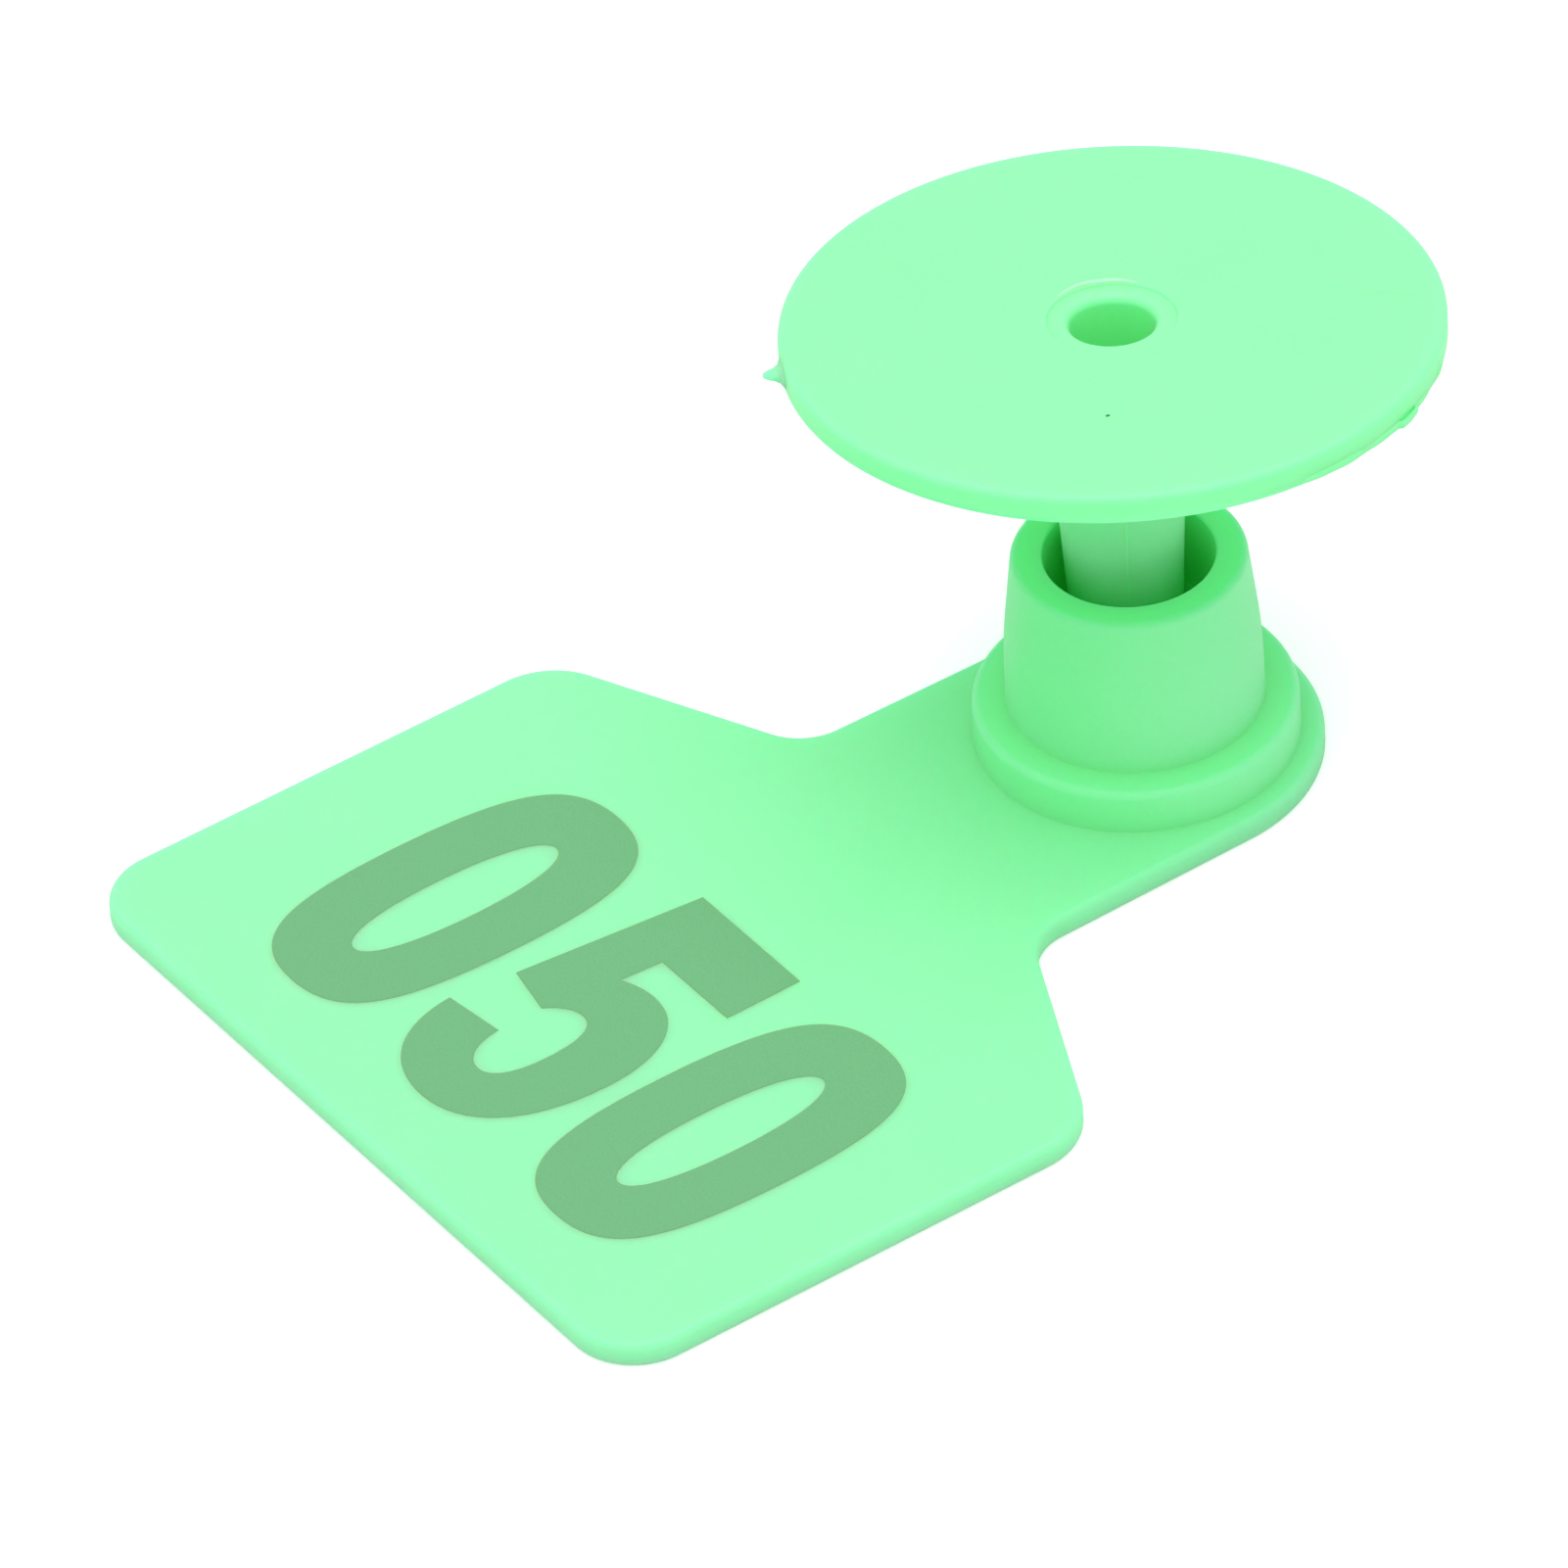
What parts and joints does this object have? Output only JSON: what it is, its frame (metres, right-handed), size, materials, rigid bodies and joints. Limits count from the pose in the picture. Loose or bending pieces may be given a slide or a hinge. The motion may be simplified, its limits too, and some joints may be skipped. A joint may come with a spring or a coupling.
{
  "type": "livestock ear tag",
  "caption": "Two-piece livestock ear tag: a flat numbered panel with a hollow boss, and a round button whose stem passes through the ear and locks in the boss.",
  "frame": {"origin": "where the boss axis meets the flat back of the panel", "axes": "+Z out of the panel's printed face, along the boss axis; -Y from the boss down the panel; X across the panel"},
  "size_m": [0.042, 0.0597, 0.0247],
  "materials": {
    "tag_green": "satin flexible polyurethane",
    "button_green": "satin flexible polyurethane",
    "tip_brass": "turned"
  },
  "bodies": {
    "tag": {"female_tag": "tag_green"},
    "button": {"male_button": "button_green", "piercing_tip": "tip_brass"}
  },
  "joints": [
    {"name": "button_swivel", "type": "hinge", "parent": "tag", "child": "button", "pos_m": [-0.0005, 0.00007, 0.00698], "axis": [-0.0923, 0.0613, 0.9938], "continuous": true}
  ]
}
